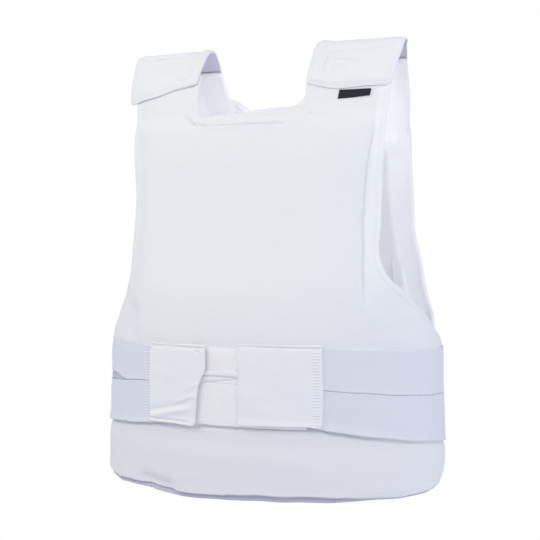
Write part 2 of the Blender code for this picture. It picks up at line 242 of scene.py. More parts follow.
# The ladders of long stitches that join flaps and bands, and the bars at the bands' back ends.
LADDER_PITCH, LADDER_WIDTH, LADDER_RADIUS = 2.9, 8, 0.5
RIGHT_LADDER, LEFT_LADDER = -98, 88.4
BAR_PITCH, BAR_WIDTH, BAR_RADIUS = 1.1, 2.4, 0.28
BAR_MARGIN, BAR_ROWS = 5, (0, 18)

# A thread's shape, how far it stands up, and the gap at which a line of stitches stops and starts again.
THREAD_RISE, FLAT_RISE, LADDER_RISE = 0.35, 0.2, 0.5
THREAD_SIDES = 6
THREAD_ROWS = (
    # share of its length, height and thickness as shares of the most
    (0, -0.9, 0.45), (0.12, 0.1, 0.95), (0.5, 1, 1), (0.88, 0.1, 0.95), (1, -0.9, 0.45),
)
LINE_BREAK = 12

# Folds: each runs between two places on the flat cloth, with a half width and a height, negative for a
# crease.
FRONT_FOLDS = (
    # across, up, to across, to up, half width, height
    (52, 378, 73, 387.5, 3, 1.1), (58, 382, 75, 390, 1.7, -1.5), (61, 387.5, 74, 392, 1.5, 0.9),
    (-66, 384, -58, 372, 5, -0.8), (-103, 12, -60, 7, 6, -6), (-60, 24, -20, 20, 9, 0.6),
    (190, 186, 203, 180, 1.8, -1.2), (176, 192, 214, 170, 9, 0.8), (141.5, 214, 142.5, 180, 1.6, 0.9),
    (-122, 192, -123, 150, 10, -5), (-141, 198, -142, 150, 15, -3.2), (-188, 338, -140, 343, 1.6, -1.2),
    (100, 372, 138, 330, 16, 0.8), (-100, 372, -138, 330, 16, 0.8), (66, 396, 112, 388, 5, 0.9),
    (72, 388, 108, 381, 4, -0.6), (-77.3, 409, -76, 397, 1.4, -0.9), (-72, 393.5, -60, 383.2, 1.1, -3),
    (-63, 384.4, -44, 380.6, 1.1, -3), (-54, 381, 44, 379.2, 1.1, -3.4), (-50, 377.6, 34, 376.2, 1.9, 0.9),
)
BACK_FOLDS = (
    (-111.5, 241, -119, 200, 1.6, -3.8), (-115.5, 238, -122.5, 206, 1.7, 3),
    (-121, 226, -131, 196, 1.8, -2.8), (-106, 226, -112, 206, 2, 2), (140, 212, 118, 240, 3.6, 1.6),
    (-72, 402, -84, 432, 4, 1.4), (70, 424, 78, 396, 3, 2), (-60, 120, 60, 126, 26, 1),
)
RIGHT_FLAP_FOLDS = (
    (-86, 79, -38, 91, 2.8, 1.9), (-88, 84.5, -40, 95.5, 2.4, -1.4), (-89, 77.4, -39, 77.2, 1.3, -2.2),
    (-51, 97, -28, 105, 2.2, 1.1), (-52, 94, -34, 101, 1.6, -0.8), (-39, 112, -28, 116, 1.8, 0.9),
    (-87, 148.6, -84, 148.6, 1.4, -1.4), (-30, 148.8, -26, 148.2, 1.4, -1.4), (-86, 128, -56, 121, 5, 0.5),
)
LEFT_FLAP_FOLDS = (24, 96, 60, 88, 9, 0.5), (17, 104, 44, 112, 6, 0.4)
LEFT_STRAP_FOLDS = (
    # across, over, to across, to over, half width, height
    (84, 68, 140, 72, 2.4, -2), (86, 63, 124, 66, 2.6, 1.5), (84, 54, 116, 50, 1.5, -2),
    (86, 57.5, 110, 55, 1.6, 1.1), (86, 47, 102, 46, 1.4, -1.6), (86, 43, 94, 43, 1.3, -1.2),
    (81, 38, 81, 62, 1.4, -1.9), (68, 31, 84, 28, 2, 1.2), (54, 98, 74, 98, 14, 4.2),
)
RIGHT_STRAP_FOLDS = (
    (-147, 80, -90, 78, 1.9, -3), (-136, 71, -94, 67, 8, -2), (-128, 58, -96, 55, 9, -0.8),
    (-120, 46, -84, 42, 7, 0.7), (-94, 39.5, -80, 41, 1.3, -1.6), (-94, 43.5, -80, 45, 1.3, -1.3),
)

# The outer cloth stops short of the hem, and the layer under it shows, painted darker as painted shade: how
# high this counts, where across the gap opens and closes, its most and its least height, how deep the step
# is, and its reach to the right.
HEM_TOP = 40
HEM_LIP_RISE = (-14, 3)
HEM_LIP_LOW, HEM_LIP_END = 90, 150
HEM_LIP_HEIGHT, HEM_LIP_LEAST = 6, 4.8
HEM_LIP_DEPTH, HEM_LIP_REACH = 4, 236

SLOTS = {
    "cover": "cover_cloth", "elastic": "elastic", "hook": "hook_cloth", "loop": "loop_cloth",
    "label": "label_cloth",
}
MATERIALS = (
    # part, name, colour, roughness, the weave's pitch and height, the nap's height, sheen, change of shade
    ("cover", "cover_weave", (0.87, 0.873, 0.9), 0.85, 0.8, 0.05, 0.1, 0.15, 0.012),
    # The lining is a darker bluish cloth put as painted shade under the hem's lip and in the gap between the
    # bands on the wearer's right; on the straps' undersides it is partly their own lining and partly painted
    # shade.
    ("lining", "strap_lining", (0.6, 0.59, 0.71), 0.9, 1.3, 0.06, 0.4, 0.1, 0.012),
    ("elastic", "elastic_ribs", (0.8, 0.81, 0.885), 0.8, 1.6, 0.1, 0.08, 0.12, 0.012),
    ("hook", "hook_backing", (0.9, 0.905, 0.93), 0.75, 0.9, 0.05, 0.06, 0.12, 0.012),
    ("loop", "loop_pile", (0.95, 0.93, 0.955), 0.95, 1.3, 0.06, 0.3, 0.3, 0.02),
    ("label", "label_satin", (0.012, 0.012, 0.018), 0.5, 0.5, 0.03, 0.03, 0.1, 0.012),
    ("thread", "sewing_thread", (0.93, 0.93, 0.94), 0.55, 0.4, 0.02, 0.03, 0.1, 0.012),
)

# The camera stands at the photograph's angle: its turn in degrees, its distance from the middle of the vest
# and its height over the hem. The photograph's size, focal length and centre are in pixels.
CAMERA_TURN, CAMERA_DISTANCE, CAMERA_HEIGHT = 23.7, 1150, 270
PHOTO_SIZE, PHOTO_FOCUS, PHOTO_CENTRE = 540, 1040.75, (272.1, 232)
SENSOR = 36

# The studio, in metres.
FLOOR_LEVEL, FLOOR_RADIUS, FLOOR_COLOUR = -1.4, 0.9, (0.93, 0.93, 0.94, 1)
WORLD_COLOUR, WORLD_STRENGTH = (0.862, 0.868, 1, 1), 0.727
LIGHTS = (
    # name, place, aim, width and height, power, colour
    ("near_left", (-0.5, -0.7, 0.25), (0, 0, -0.15), (0.4, 0.35), 1.95, (0.94, 1, 0.66)),
    ("near_right", (0.7, -0.6, 0.36), (0, 0, -0.05), (0.5, 0.4), 1.95, (0.97, 0.98, 0.72)),
    ("front", (0.55, -1.5, 0.3), (0, 0, -0.1), (0.5, 0.5), 0.6, (0.8, 0.97, 1)),
    ("left", (-1.4, -0.6, 0.35), (0, 0, -0.15), (0.35, 0.35), 1.3, (1, 1, 0.93)),
    ("right", (1.8, -0.1, 0), (0, 0, -0.25), (1, 1.2), 4.3, (0.78, 0.92, 1)),
    ("behind", (-0.4, 1.9, 0.7), (0, 0, -0.2), (1.4, 1), 5, (1, 0.99, 0.9)),
    ("inside", (0.03, -0.03, -0.22), (0.03, 0.12, -0.22), (0.18, 0.14), 0.075, (0.92, 0.96, 1)),
    ("under", (0.01, -0.01, -0.12), (0.01, 0.03, 0), (0.17, 0.05), 0.066, (1, 1, 0.88)),
    ("under_left", (0.1, 0.01, -0.055), (0.105, 0.03, 0), (0.04, 0.03), 0.002, (1, 1, 0.9)),
)


def ramp(low, high, value):
    """0 up to low, 1 from high on, and smooth between them."""
    part = np.clip((value - low) / (high - low), 0, 1)
    return part * part * (3 - 2 * part)


def fall(low, high, value):
    """1 up to low and 0 from high on."""
    return 1 - ramp(low, high, value)


def zone(low_start, low_full, high_full, high_end, value):
    """1 between the two full values, and 0 outside the start and the end."""
    return ramp(low_start, low_full, value) * fall(high_full, high_end, value)


def bell(value, middle, width):
    return np.exp(-(((value - middle) / width) ** 2))


@functools.lru_cache(maxsize=None)
def gradients(seed):
    angle = np.random.default_rng(seed).uniform(0, 2 * math.pi, (RIPPLE_CELLS, RIPPLE_CELLS))
    return np.stack([np.cos(angle), np.sin(angle)], axis=-1)


def ripple(across, up, size, seed):
    """A smooth random height, about -1 to 1, whose bumps are size apart, one number or one for each way."""
    size_across, size_up = size if isinstance(size, tuple) else (size, size)
    table = gradients(seed)
    x, y = across / size_across + 31.7, up / size_up + 17.3
    cell_x, cell_y = np.floor(x).astype(int), np.floor(y).astype(int)
    part_x, part_y = x - cell_x, y - cell_y
    height = 0
    for step_x, blend_x in ((0, fall), (1, ramp)):
        for step_y, blend_y in ((0, fall), (1, ramp)):
            slope = table[(cell_x + step_x) % RIPPLE_CELLS, (cell_y + step_y) % RIPPLE_CELLS]
            rise = slope[..., 0] * (part_x - step_x) + slope[..., 1] * (part_y - step_y)
            height = height + rise * blend_x(0, 1, part_x) * blend_y(0, 1, part_y)
    return 1.5 * height


def folds(rows, across, up):
    """The height that rows of folds give, each thinning out towards its ends."""
    height = np.zeros_like(across)
    for start_across, start_up, end_across, end_up, half_width, rise in rows:
        run = end_across - start_across, end_up - start_up
        length = np.hypot(*run)
        along = ((across - start_across) * run[0] + (up - start_up) * run[1]) / length
        aside = ((across - start_across) * run[1] - (up - start_up) * run[0]) / length
        fade = 0.5 * max(0.35 * length, 2 * half_width)
        height += rise * zone(-fade, fade, length - fade, length + fade, along) * bell(aside, 0, half_width)
    return height


def torso_row(height):
    """Half width, half depth and centre of the form at a height, on smooth curves through the rows."""
    rows = np.array(TORSO_ROWS)
    slopes = np.gradient(rows[:, 1:], rows[:, 0], axis=0)
    row = min(max(int(np.searchsorted(rows[:, 0], height)) - 1, 0), len(rows) - 2)
    below, above = rows[row], rows[row + 1]
    step = above[0] - below[0]
    part = (height - below[0]) / step
    leave, arrive = slopes[row] * step, slopes[row + 1] * step
    start = (1 + 2 * part) * (1 - part) ** 2 * below[1:] + part * (1 - part) ** 2 * leave
    return start + part**2 * (3 - 2 * part) * above[1:] - part**2 * (1 - part) * arrive


def corner_arc(before, corner, after, radius, step):
    """The arc that rounds a corner, as points at most about a step apart."""
    into = (corner - before).normalized()
    out = (after - corner).normalized()
    turn = math.atan2(into.x * out.y - into.y * out.x, into.dot(out))
    pieces = max(1, math.ceil(abs(turn) * max(radius, 1) / step), math.ceil(abs(turn) / 0.5))
    side = Vector((-into.y, into.x)) * math.copysign(1, turn)
    centre = corner - into * radius * math.tan(abs(turn) / 2) + side * radius
    angles = [abs(turn) * piece / pieces for piece in range(pieces + 1)]
    return [centre + (into * math.sin(angle) - side * math.cos(angle)) * radius for angle in angles]


def reached(line):
    """How far along a line each of its points is."""
    return np.concatenate([[0], np.cumsum(np.linalg.norm(np.diff(line, axis=0), axis=1))])


@functools.lru_cache(maxsize=None)
def shoulder_line():
    """The shoulder's side profile: y, height, and the length along it from its front foot."""
    corners = [(Vector(row[:2]), row[2]) for row in SHOULDER_ROWS]
    line = [corners[0][0]]
    for (before, _), (corner, radius), (after, _) in zip(corners, corners[1:], corners[2:]):
        line += corner_arc(before, corner, after, radius, 1)
    line = np.array([tuple(point) for point in (*line, corners[-1][0])])
    return line[:, 0], line[:, 1], reached(line)


def shoulder_length():
    return shoulder_line()[2][-1]


def shoulder_level(over):
    """Height, face and centre of the shoulder, over measured from the front foot to the back foot."""
    y, height, length = shoulder_line()
    centre = SHOULDER_CENTRE - SHOULDER_LEAN * np.sin(math.pi * over / length[-1])
    return np.interp(over, length, height), np.interp(over, length, y), centre


def rest_point():
    """Where the vest sits, which is the frame's origin: under the straps at the top of the shoulder."""
    y, height, _ = shoulder_line()
    top = int(np.argmax(height))
    return np.array([0, y[top], height[top] + STRAP_REST])


def section(up, back):
    """The form's half section at a level, from the centre of one face round the side: points and length."""
    if up <= SHOULDER_START:
        height = up
        width, depth, centre = torso_row(up)
        face = centre + (depth if back else -depth)
    else:
        over = up - SHOULDER_START
        height, face, centre = shoulder_level(shoulder_length() - over if back else over)
        width = SHOULDER_WIDTH
    angle = np.linspace(0, math.pi, SECTION_POINTS)
    power = 2 / SQUARENESS
    x = width * np.abs(np.sin(angle)) ** power
    y = centre + (face - centre) * np.sign(np.cos(angle)) * np.abs(np.cos(angle)) ** power
    length = np.concatenate([[0], np.cumsum(np.hypot(np.diff(x), np.diff(y)))])
    return x, y, height, length


class Face:
    """The front or the back of the form, as a grid of points that is looked up by across and up."""

    lowest, step, reach = -30.0, 1.0, 440.0

    def __init__(self, back):
        self.back = back
        self.levels = np.arange(self.lowest, SHOULDER_START + 0.5 * shoulder_length(), self.step)
        self.places = np.arange(0, self.reach, self.step)
        grid = []
        for up in self.levels:
            x, y, height, length = section(float(up), back)
            columns = np.interp(self.places, length, x), np.interp(self.places, length, y)
            grid.append(np.stack([*columns, np.full(len(self.places), height)], axis=-1))
        self.grid = np.array(grid)

    def __call__(self, across, up):
        row = np.clip((up - self.lowest) / self.step, 0, len(self.levels) - 1.001)
        column = np.clip(np.abs(across) / self.step, 0, len(self.places) - 1.001)
        low_row, low_column = row.astype(int), column.astype(int)
        part_row, part_column = (row - low_row)[:, None], (column - low_column)[:, None]
        points = 0
        for up_one, row_share in ((0, 1 - part_row), (1, part_row)):
            for across_one, column_share in ((0, 1 - part_column), (1, part_column)):
                corner = self.grid[low_row + up_one, low_column + across_one]
                points = points + corner * row_share * column_share
        points[:, 0] *= np.sign(across) * (-1 if self.back else 1)
        return points


def on_shoulder(across, over):
    """Points of the shoulder, over measured from its front foot across the top to its back foot."""
    height, face, centre = shoulder_level(over)
    fullness = (1 - (np.abs(across) / SHOULDER_WIDTH) ** SQUARENESS) ** (1 / SQUARENESS)
    return np.stack([across, centre + (face - centre) * fullness, height], axis=-1)


def place(surface, flat, lift):
    """Points of the flat cloth on the surface, raised by lift along its normal, in the frame's metres."""
    across, up = flat[:, 0], flat[:, 1]
    reach = 1.2
    along = surface(across + reach, up) - surface(across - reach, up)
    upward = surface(across, up + reach) - surface(across, up - reach)
    normal = np.cross(along, upward)
    normal /= np.linalg.norm(normal, axis=1)[:, None]
    return (surface(across, up) + normal * lift[:, None] - rest_point()) * MM


def rounded_outline(corners, step):
    """The outline through rows of across, up and radius, with an arc at each and points every step between.

    All of it wavers a little, as hand-sewn cloth does, and pieces that lie side by side waver together.
    """
    corners = [(Vector(row[:2]), row[2]) for row in corners]
    stops = []
    neighbours = zip(corners[-1:] + corners, corners, corners[1:] + corners)
    for (before, _), (corner, radius), (after, _) in neighbours:
        stops += corner_arc(before, corner, after, radius, step)
    outline = []
    for stop, following in zip(stops, stops[1:] + stops[:1]):
        length = (following - stop).length
        if length >= SHORTEST_EDGE:
            pieces = max(1, round(length / step))
            outline += [tuple(stop.lerp(following, piece / pieces)) for piece in range(pieces)]
    outline = np.array(outline)
    outline += WAVER * np.column_stack([ripple(*outline.T, 27, 301), ripple(*outline.T, 27, 302)])
    ahead = np.roll(outline, -1, axis=0)
    area = (outline[:, 0] * ahead[:, 1] - outline[:, 1] * ahead[:, 0]).sum()
    return outline if area > 0 else outline[::-1]


def tree_of(points):
    tree = KDTree(len(points))
    for number, (across, up) in enumerate(np.asarray(points).tolist()):
        tree.insert((across, up, 0), number)
    tree.balance()
    return tree


def edge_distance(points, outline):
    """Each point's distance to the outline."""
    tree = tree_of(outline)
    nearest = np.array([tree.find((across, up, 0))[1] for across, up in points.tolist()])
    corner, before, after = outline[nearest], outline[nearest - 1], outline[(nearest + 1) % len(outline)]
    found = []
    for start, end in ((before, corner), (corner, after)):
        run = end - start
        part = np.clip(((points - start) * run).sum(1) / (run * run).sum(1), 0, 1)
        found.append(np.linalg.norm(points - start - run * part[:, None], axis=1))
    return np.minimum(*found)


def inside(points, outline):
    """Whether each point is inside the outline."""
    start, end = outline, np.roll(outline, -1, axis=0)
    rise = np.where(end[:, 1] == start[:, 1], 1e-9, end[:, 1] - start[:, 1])
    found = []
    for block in np.array_split(points, max(1, len(points) // 1500)):
        across, up = block[:, None, 0], block[:, None, 1]
        crossed = (start[:, 1] > up) != (end[:, 1] > up)
        crossing = start[:, 0] + (end[:, 0] - start[:, 0]) * (up - start[:, 1]) / rise
        found.append((crossed & (across < crossing)).sum(1) % 2 == 1)
    return np.concatenate(found)


def inset_line(outline, inset):
    """Points inside the outline, each at its own distance from it, in the outline's order."""
    ahead, behind = np.roll(outline, -1, axis=0), np.roll(outline, 1, axis=0)
    along = (ahead - behind) / np.linalg.norm(ahead - behind, axis=1)[:, None]
    inset = np.broadcast_to(inset, len(outline))
    line = outline + np.stack([-along[:, 1], along[:, 0]], axis=-1) * inset[:, None]
    return line[inside(line, outline) & (edge_distance(line, outline) > 0.96 * inset)]


def beyond(path, across, up):
    """How far each point lies to the outer side of a line that runs down beside the arm, on either side."""
    path = np.array(path)
    return np.abs(across) - np.interp(up, path[::-1, 1], path[::-1, 0])


def spaced(points, gap):
    """The points that are at least a gap from each one kept before them."""
    kept, cells = [], {}
    for point in points:
        cell = int(point[0] // gap), int(point[1] // gap)
        around = [(cell[0] + x, cell[1] + y) for x in (-1, 0, 1) for y in (-1, 0, 1)]
        close = [other for one in around for other in cells.get(one, ())]
        if all(math.hypot(point[0] - other[0], point[1] - other[1]) > gap for other in close):
            kept.append(point)
            cells.setdefault(cell, []).append(point)
    return kept


def beside(path, offsets, gap):
    """Points every gap along a path of across and up, in one row for each offset to its side."""
    path = np.array(path, float)
    length = reached(path)
    stops = np.linspace(0, length[-1], max(3, int(length[-1] / gap)))
    line = np.column_stack([np.interp(stops, length, path[:, axis]) for axis in (0, 1)])
    ahead = np.gradient(line, axis=0)
    ahead /= np.linalg.norm(ahead, axis=1)[:, None]
    side = np.stack([-ahead[:, 1], ahead[:, 0]], axis=-1)
    return np.concatenate([line + offset * side for offset in offsets])


def by_creases(rows):
    """Points beside the narrow folds in rows, close enough to shape them."""
    found = [np.zeros((0, 2))]
    for start_across, start_up, end_across, end_up, half_width, _ in rows:
        if half_width < NARROW_FOLD:
            path = (start_across, start_up), (end_across, end_up)
            found.append(beside(path, half_width * np.array(CREASE_OFFSETS), max(1.1, half_width)))
    return np.concatenate(found)


def by_line(path):
    """Points beside a sewn line that runs down beside the arm, on both sides of the cloth."""
    rows = beside(path, SEAM_OFFSETS, 1.7)
    return np.concatenate([rows, rows * (-1, 1)])


def away_from(points, others, gap):
    """The points that are more than a gap from all the others."""
    if not len(others):
        return points
    tree = tree_of(others)
    return np.array([point for point in np.asarray(points).tolist() if tree.find((*point, 0))[2] > gap])


class Cloth:
    """A cloth piece cut to an outline and laid on a surface.

    lift of the lower face, thickness, relief on the upper face, lining on the lower face and curl of the
    whole cloth are functions of across, up and the distance to the edge.
    """

    # Points stand in rings at these distances from the edge. Guide points stay this far from it and apart.
    rings = (0.25, 0.8, 1.7, 2.8, 4, 5.5, 6.5, 7.8, 9, 10.2, 11.8)
    guide_margin, guide_gap = 1.2, 0.4

    def __init__(self, name, surface, corners, step, lift, thickness, **shape):
        self.name, self.surface, self.step = name, surface, step
        self.lift, self.thickness = lift, thickness
        self.relief, self.lining = shape.get("relief", level), shape.get("lining", level)
        self.curl = shape.get("curl", level)
        self.rounding = shape.get("rounding", math.inf)
        self.guides = shape.get("guides", np.zeros((0, 2)))
        self.painted_light_mask = shape.get("painted_light_mask")
        self.outline = rounded_outline(corners, min(step, OUTLINE_STEP))

    def heights(self, flat):
        """Heights of the lower and the upper face over the surface, and the distance to the edge."""
        across, up = flat[:, 0], flat[:, 1]
        near = edge_distance(flat, self.outline)
        thickness = self.thickness(across, up, near)
        middle = self.lift(across, up, near) + self.curl(across, up, near) + 0.5 * thickness
        taper = np.clip(near / np.minimum(self.rounding, 0.5 * thickness), 0, 1)
        half = 0.5 * thickness * np.sqrt(1 - (1 - taper) ** 2)
        relief = self.relief(across, up, near) * taper
        lining = self.lining(across, up, near) * taper
        return middle - half + lining, middle + half + relief, near

    def filled(self):
        """The flat cloth in triangles: its points, the outline's first, and rows of three numbers."""
        low, high = self.outline.min(0), self.outline.max(0)
        lattice = []
        for number, up in enumerate(np.arange(low[1], high[1], 0.866 * self.step)):
            across = np.arange(low[0], high[0], self.step) + 0.5 * self.step * (number % 2)
            lattice.append(np.stack([across, np.full(len(across), up)], axis=-1))
        lattice = np.concatenate(lattice)
        rings = [ring for ring in self.rings if ring < 0.4 * min(high - low)]
        lattice = lattice[inside(lattice, self.outline)]
        lattice = lattice[edge_distance(lattice, self.outline) > max(rings) + 0.5 * self.step]
        guides = self.guides
        if len(guides):
            guides = guides[inside(guides, self.outline)]
            guides = guides[edge_distance(guides, self.outline) > self.guide_margin]
            guides = np.array(spaced(guides.tolist(), self.guide_gap))
        points = [*self.outline, *guides]
        for ring in rings:
            points += spaced([*away_from(inset_line(self.outline, ring), guides, 0.6)], 0.55 * self.step)
        points += [*away_from(lattice, guides, 0.5 * self.step)]
        loop = list(range(len(self.outline)))
        edges = list(zip(loop, loop[1:] + loop[:1]))
        points = [Vector(point) for point in points]
        flat, _, triangles, *_ = delaunay_2d_cdt(points, edges, [loop], 1, 1e-4)
        return np.array([tuple(point) for point in flat]), np.array([list(three) for three in triangles])

    def build(self, made, cloth, painted_shade_at=None):
        """The closed piece, an upper and a lower face that meet along the outline, in place of its solid.

        The last argument says where the darker lining cloth is put as painted shade, from across, up, near
        and being on the lower face.
        """
        flat, triangles = self.filled()
        lower, upper, near = self.heights(flat)
        rim = len(self.outline)
        lower_points = place(self.surface, flat[rim:], lower[rim:])
        points = np.concatenate([place(self.surface, flat, upper), lower_points])
        under = np.where(triangles >= rim, triangles + len(flat) - rim, triangles)[:, ::-1]
        mesh = bpy.data.meshes.new(self.name + "_cloth")
        mesh.from_pydata(points.tolist(), [], np.concatenate([triangles, under]).tolist())
        mesh.shade_smooth()
        places = np.column_stack([flat, near])
        add_values(mesh, "cloth", "FLOAT_VECTOR", "vector", np.concatenate([places, places[rim:]]))
        # Painted light and painted shade: the thin cloth's upper face is painted lighter and the pad's inner
        # face darker.
        if self.painted_light_mask:
            padded = self.painted_light_mask(*flat.T, near)
            painted_lightness = np.concatenate([1 - padded, 1 - PAINTED_INNER_SHADE * padded[rim:]])
            add_values(mesh, "painted_lightness", "FLOAT", "value", painted_lightness)
        add_uv(mesh, np.concatenate([flat, flat[rim:]]), len(triangles))
        self.area = sum_of_areas(flat, triangles)
        self.size = flat.max(0) - flat.min(0)
        self.slot, self.thread = SLOTS[cloth], made["thread"]
        self.piece = link(self.name + "_cloth", mesh, made[cloth])
        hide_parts(self.name)
        # Painted shade: the darker lining cloth goes on the triangles that the last argument picks.
        if painted_shade_at:
            mesh.materials.append(made["lining"])
            middles = np.tile(places[triangles].mean(1), (2, 1)).T
            shown = painted_shade_at(*middles, np.arange(2 * len(triangles)) >= len(triangles))
            mesh.polygons.foreach_set("material_index", shown.astype(np.int32))

    def sew_along(self, seam, line, stitch, rise=THREAD_RISE):
        """A seam of running stitches along a line on the flat cloth."""
        pitch, radius = stitch
        self.sew(seam, running_stitch(line, pitch), radius, rise)

    def sew(self, seam, segments, radius, rise=THREAD_RISE):
        """Stitches: each segment of the flat cloth is one thread that dips in at both ends."""
        segments = np.array(segments, dtype=float)
        shares, dips, sizes = np.array(THREAD_ROWS).T
        flat = segments[:, None, 0] * (1 - shares[:, None]) + segments[:, None, 1] * shares[:, None]
        flat = flat.reshape(-1, 2)
        lift = (self.heights(flat)[1].reshape(-1, len(shares)) + dips * rise).ravel()
        shape = -1, len(shares), 3
        centre = place(self.surface, flat, lift).reshape(shape)
        normal = (place(self.surface, flat, lift + 1).reshape(shape) - centre) / MM
        along = centre[:, -1:] - centre[:, :1]
        aside = np.cross(along / np.linalg.norm(along, axis=2)[..., None], normal)
        angle = np.arange(THREAD_SIDES) * 2 * math.pi / THREAD_SIDES
        ring = aside[:, :, None] * np.cos(angle)[:, None] + normal[:, :, None] * np.sin(angle)[:, None]
        points = centre[:, :, None] + ring * ((sizes * radius)[:, None, None] * MM)
        size = len(shares) * THREAD_SIDES
        start = np.arange(len(segments)) * size
        first = start[:, None, None] + (np.arange(len(shares) - 1) * THREAD_SIDES)[:, None]
        column = np.arange(THREAD_SIDES)
        following = (column + 1) % THREAD_SIDES
        corners = column, following, THREAD_SIDES + following, THREAD_SIDES + column
        faces = np.stack([first + corner for corner in corners], axis=-1).reshape(-1, 4).tolist()
        faces += [list(range(number + THREAD_SIDES - 1, number - 1, -1)) for number in start]
        faces += [list(range(number + size - THREAD_SIDES, number + size)) for number in start]
        mesh = bpy.data.meshes.new(self.name + seam)
        mesh.from_pydata(points.reshape(-1, 3).tolist(), [], faces)
        mesh.shade_smooth()
        link(self.name + seam, mesh, self.thread)


def sum_of_areas(flat, triangles):
    """The flat cloth's area in square metres."""
    a, b, c = (flat[triangles[:, corner]] for corner in range(3))
    cross = (b - a)[:, 0] * (c - a)[:, 1] - (b - a)[:, 1] * (c - a)[:, 0]
    return float(np.abs(cross).sum() / 2) * MM * MM


def add_values(mesh, name, kind, field, values):
    """A value at every point of the mesh, which the material reads."""
    attribute = mesh.attributes.new(name, kind, "POINT")
    attribute.data.foreach_set(field, values.astype(np.float32).ravel())


def add_uv(mesh, flat, upper_faces):
    """The flat cut as the UV map, the upper face in the left half and the lower face in the right half."""
    low, high = flat.min(0), flat.max(0)
    scale = 0.97 / max(high[1] - low[1], 2 * (high[0] - low[0]))
    layer = mesh.uv_layers.new(name="cut")
    corner_points = np.empty(len(mesh.loops), dtype=np.int32)
    mesh.loops.foreach_get("vertex_index", corner_points)
    uv = (flat[corner_points] - low) * scale + 0.01
    uv[3 * upper_faces :, 0] += 0.5
    layer.data.foreach_set("uv", uv.astype(np.float32).ravel())


def new_object(name, data):
    thing = bpy.data.objects.new(name, data)
    bpy.context.scene.collection.objects.link(thing)
    return thing


def link(name, mesh, material):
    piece = new_object(name, mesh)
    mesh.materials.append(material)
    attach(piece, "root")
    return piece


def running_stitch(line, pitch, share=0.68):
    """Segments along a line of flat points, pitch apart, each a share of the pitch long."""
    line = np.array(line, dtype=float)
    gap = np.linalg.norm(np.diff(line, axis=0), axis=1)
    pieces = []
    for run in np.split(line, np.nonzero(gap > LINE_BREAK)[0] + 1):
        if len(run) < 2:
            continue
        length = reached(run)
        begins = np.arange(0, length[-1] - pitch, pitch)
        ends = begins + share * pitch
        point = [np.interp(x, length, run[:, axis]) for x in (begins, ends) for axis in (0, 1)]
        pieces.append(np.stack([np.stack(point[:2], axis=-1), np.stack(point[2:], axis=-1)], axis=1))
    return np.concatenate(pieces)


def bars(across, low, high, width, pitch):
    """Segments of a ladder of bars that runs up the flat cloth."""
    return np.array([((across, up), (across + width, up)) for up in np.arange(low, high, pitch)])


def level(across, up, near):
    return np.zeros_like(across)


def even(amount):
    return lambda across, up, near: amount + np.zeros_like(across)


def by_the_neck(across, up, half_width):
    """1 beside the neckline and 0 beside the arms."""
    return ramp(*NECK_ZONE, up) * fall(half_width, half_width + 20, np.abs(across))


def side_by_side(neck, at_neck, at_arm, at_hem, up):
    """A value that goes from the neck's to the arms' and, lower down, to the hem's."""
    side = at_neck * neck + at_arm * (1 - neck)
    return at_hem + (side - at_hem) * ramp(*HEM_RISE, up)


def insert_share(across, up, near, insert):
    """1 over the insert and 0 outside it, where the cover is sewn flat."""
    half_width, arm_line, arm_fade = insert
    neck = by_the_neck(across, up, half_width)
    margin = side_by_side(neck, NECK_MARGIN, ARM_MARGIN, HEM_MARGIN, up)
    slope = side_by_side(neck, NECK_SLOPE, ARM_SLOPE, HEM_SLOPE, up)
    by_edge = ramp(0, 1, (near - margin) / slope)
    by_arm = fall(*INSERT_EDGE, beyond(arm_line, across, up))
    return (by_edge + (by_arm - by_edge) * zone(*arm_fade, up)) * fall(*TAB_FADE, up)


def thinner(across, up, near, insert):
    """How much thinner than over the insert the panel is."""
    return (PAD_THICKNESS - COVER_THICKNESS) * (1 - insert_share(across, up, near, insert))


def panel_thickness(insert):
    def thickness(across, up, near):
        edge = COVER_THICKNESS + (HEM_THICKNESS - COVER_THICKNESS) * fall(*HEM_RISE, up)
        return edge + (PAD_THICKNESS - edge) * insert_share(across, up, near, insert)

    return thickness


def front_painted_light_mask(across, up, near):
    """The mask of painted light and painted shade: 1 where the cover is padded, and 0 in the margin beside
    the arm, whose thin cloth is painted lighter.
    """
    in_margin = ramp(0.8, 3, beyond(ARM_SEAM, across, up)) * ramp(190, 240, up)
    return 1 - in_margin * np.where(across > 0, 1, RIGHT_MARGIN_PAINTED_LIGHT)


# The back's mask of painted light and painted shade: lower in the margin beyond the insert's edge and over
# the tabs, whose cloth is painted lighter.
def back_painted_light_mask(across, up, near):
    in_margin = ramp(*INSERT_EDGE, beyond(BACK_INSERT_EDGE, across, up)) * ramp(150, 200, up)
    return (1 - in_margin) * (1 - ramp(*BACK_TAB_ZONE, up) * BACK_TAB_PAINTED_LIGHT)


def belt_crease(across, up):
    away = up - np.interp(across, *np.array(BELT_LINE).T)
    depth = BELT_CREASE_DEPTH * (1 - 0.6 * ramp(100, 200, across)) * (np.abs(across) < BELT_END)
    return depth * bell(away, 0, BELT_CREASE_WIDTH) - folds(BELT_FOLDS, across, up)


def side_press(across):
    """How much more the belt of bands presses at the side than in front."""
    return (SIDE_PRESS - BAND_PRESS) * ramp(120, 220, np.abs(across))


def front_lift(across, up, near):
    """The wings lie over the back panel, and beside the arm the cover turns up towards its edge."""
    wing = WING_LIFT * ramp(*WING_RISE, np.abs(across)) * fall(*WING_FADE, up)
    turned_up = ramp(0, 17, beyond(ARM_SEAM, across, up)) * zone(*ARM_SEAM_FADE, up)
    wing -= SIDE_SINKS * zone(140, 200, 300, 400, up) * ramp(100, 150, -across)
    thin = thinner(across, up, near, FRONT_INSERT)
    return wing + thin * (0.62 + 0.38 * turned_up) * ramp(*HEM_RISE, up) * fall(*TAB_FADE, up)


